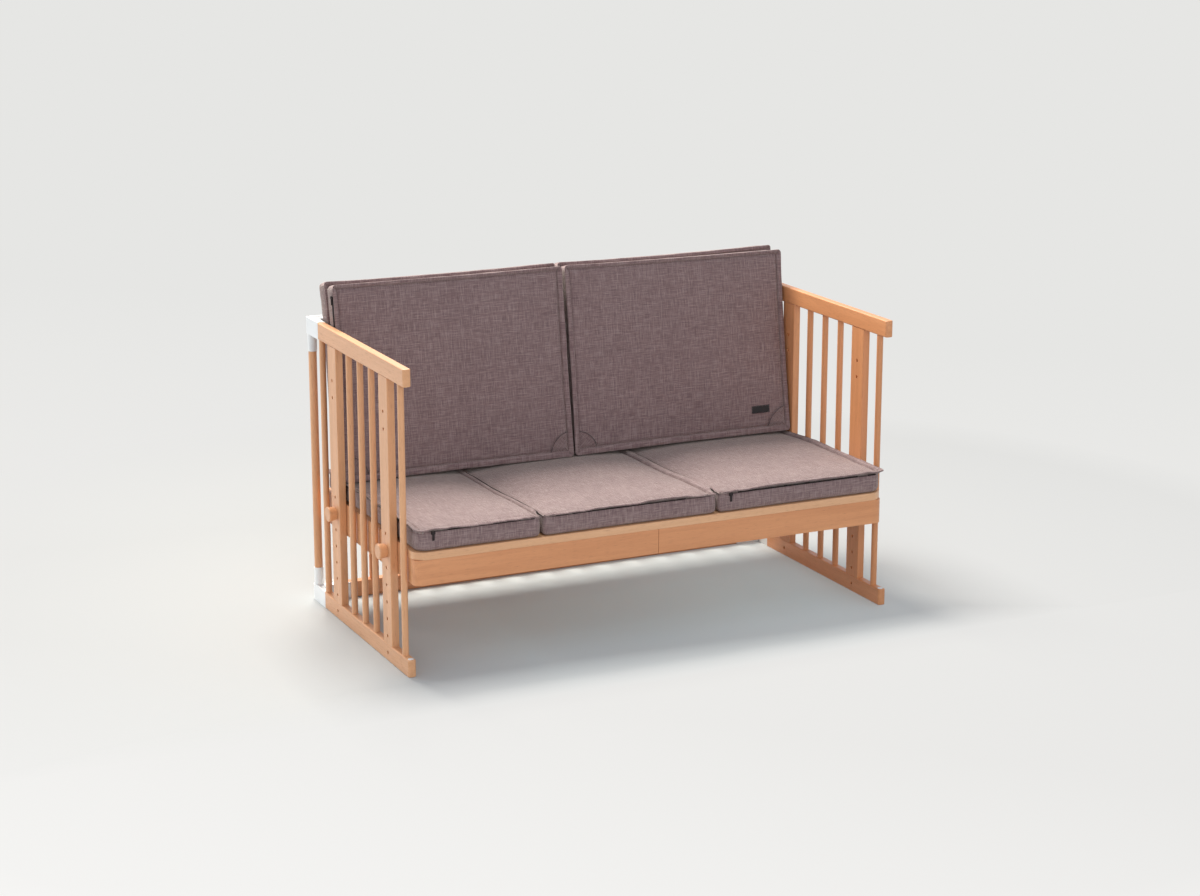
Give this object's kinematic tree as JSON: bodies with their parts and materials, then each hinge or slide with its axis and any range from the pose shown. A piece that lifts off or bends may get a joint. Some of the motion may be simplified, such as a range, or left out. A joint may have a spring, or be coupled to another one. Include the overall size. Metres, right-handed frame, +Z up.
{
  "type": "convertible cot bed",
  "caption": "Wooden cot bed set up as a sofa: barred ends and back, height-adjustable base, padded seat and leaning back pads.",
  "frame": {"origin": "on the floor, in the middle of the part's width and depth", "axes": "+X along the sofa from its left end to its right end as seen from the front, +Y from front to rear, +Z up"},
  "size_m": [1.2716, 0.6463, 0.7966],
  "materials": {
    "beech": "clear satin lacquer",
    "white_plastic": "moulded, satin",
    "melange_fabric": "slubbed plain weave",
    "black_zip": "satin black",
    "zinc_steel": "zinc plated"
  },
  "bodies": {
    "frame": {"bracket_bolts": "zinc_steel", "centre_beams": "beech", "corner_bracket_bottom_left": "white_plastic", "corner_bracket_bottom_right": "white_plastic", "corner_bracket_top_left": "white_plastic", "corner_bracket_top_right": "white_plastic", "corner_post_left": "beech", "corner_post_right": "beech", "end_bottom_rail_left": "beech", "end_bottom_rail_right": "beech", "end_dowel_1_left": "beech", "end_dowel_1_right": "beech", "end_dowel_2_left": "beech", "end_dowel_2_right": "beech", "end_dowel_3_left": "beech", "end_dowel_3_right": "beech", "end_dowel_4_left": "beech", "end_dowel_4_right": "beech", "end_dowel_5_left": "beech", "end_dowel_5_right": "beech", "end_top_rail_left": "beech", "end_top_rail_right": "beech", "front_board_left": "beech", "front_board_right": "beech", "front_ledge": "beech", "holed_board_front_left": "beech", "holed_board_front_right": "beech", "holed_board_rear_left": "beech", "holed_board_rear_right": "beech", "rail_end_plugs": "white_plastic", "rear_board": "beech", "rear_bottom_rail": "beech", "rear_dowels": "beech", "rear_top_rail": "beech", "side_board_left": "beech", "side_board_right": "beech", "slat_cleats": "beech", "slats": "beech", "threaded_inserts": "zinc_steel"},
    "hand_screw_front_left": {"knob_front_left": "beech", "knob_screw_front_left": "zinc_steel"},
    "back_pad_front_left": {"back_pad_front_left": "melange_fabric"},
    "hand_screw_front_right": {"knob_front_right": "beech", "knob_screw_front_right": "zinc_steel"},
    "back_pad_front_right": {"back_pad_front_right": "melange_fabric"},
    "hand_screw_rear_left": {"knob_rear_left": "beech", "knob_screw_rear_left": "zinc_steel"},
    "back_pad_rear_left": {"back_pad_rear_left": "melange_fabric"},
    "hand_screw_rear_right": {"knob_rear_right": "beech", "knob_screw_rear_right": "zinc_steel"},
    "back_pad_rear_right": {"back_pad_rear_right": "melange_fabric"},
    "seat_pads": {"seat_pad_left": "melange_fabric", "seat_pad_middle": "melange_fabric", "seat_pad_right": "melange_fabric"},
    "back_zip_pull_body": {"back_zip_pull": "black_zip"},
    "seat_zip_pull_left_body": {"seat_zip_pull_left": "black_zip"},
    "seat_zip_pull_right_body": {"seat_zip_pull_right": "black_zip"}
  },
  "joints": [
    {"name": "hand_screw_front_left_turn", "type": "hinge", "parent": "frame", "child": "hand_screw_front_left", "pos_m": [-0.6158, -0.187, 0.26], "axis": [1, 0, 0], "continuous": true},
    {"name": "hand_screw_front_right_turn", "type": "hinge", "parent": "frame", "child": "hand_screw_front_right", "pos_m": [0.6158, -0.187, 0.26], "axis": [1, 0, 0], "continuous": true},
    {"name": "hand_screw_rear_left_turn", "type": "hinge", "parent": "frame", "child": "hand_screw_rear_left", "pos_m": [-0.6158, 0.147, 0.26], "axis": [1, 0, 0], "continuous": true},
    {"name": "hand_screw_rear_right_turn", "type": "hinge", "parent": "frame", "child": "hand_screw_rear_right", "pos_m": [0.6158, 0.147, 0.26], "axis": [1, 0, 0], "continuous": true},
    {"name": "back_pad_front_left_lift", "type": "slide", "parent": "frame", "child": "back_pad_front_left", "axis": [0, 0.1253, 0.9921], "range_m": [0, 0.48]},
    {"name": "back_pad_front_right_lift", "type": "slide", "parent": "frame", "child": "back_pad_front_right", "axis": [0, 0.1253, 0.9921], "range_m": [0, 0.48]},
    {"name": "back_pad_rear_left_lift", "type": "slide", "parent": "frame", "child": "back_pad_rear_left", "axis": [0, 0.1253, 0.9921], "range_m": [0, 0.48]},
    {"name": "back_pad_rear_right_lift", "type": "slide", "parent": "frame", "child": "back_pad_rear_right", "axis": [0, 0.1253, 0.9921], "range_m": [0, 0.48]},
    {"name": "seat_pads_pull_out", "type": "slide", "parent": "frame", "child": "seat_pads", "axis": [0, -1, 0], "range_m": [0, 0.66]},
    {"name": "seat_zip_left_slide", "type": "slide", "parent": "seat_pads", "child": "seat_zip_pull_left_body", "axis": [1, 0, 0], "range_m": [0, 0.24]},
    {"name": "seat_zip_right_slide", "type": "slide", "parent": "seat_pads", "child": "seat_zip_pull_right_body", "axis": [1, 0, 0], "range_m": [0, 0.36]},
    {"name": "back_zip_slide", "type": "slide", "parent": "back_pad_front_left", "child": "back_zip_pull_body", "axis": [0, -0.1253, -0.9921], "range_m": [0, 0.36]}
  ]
}
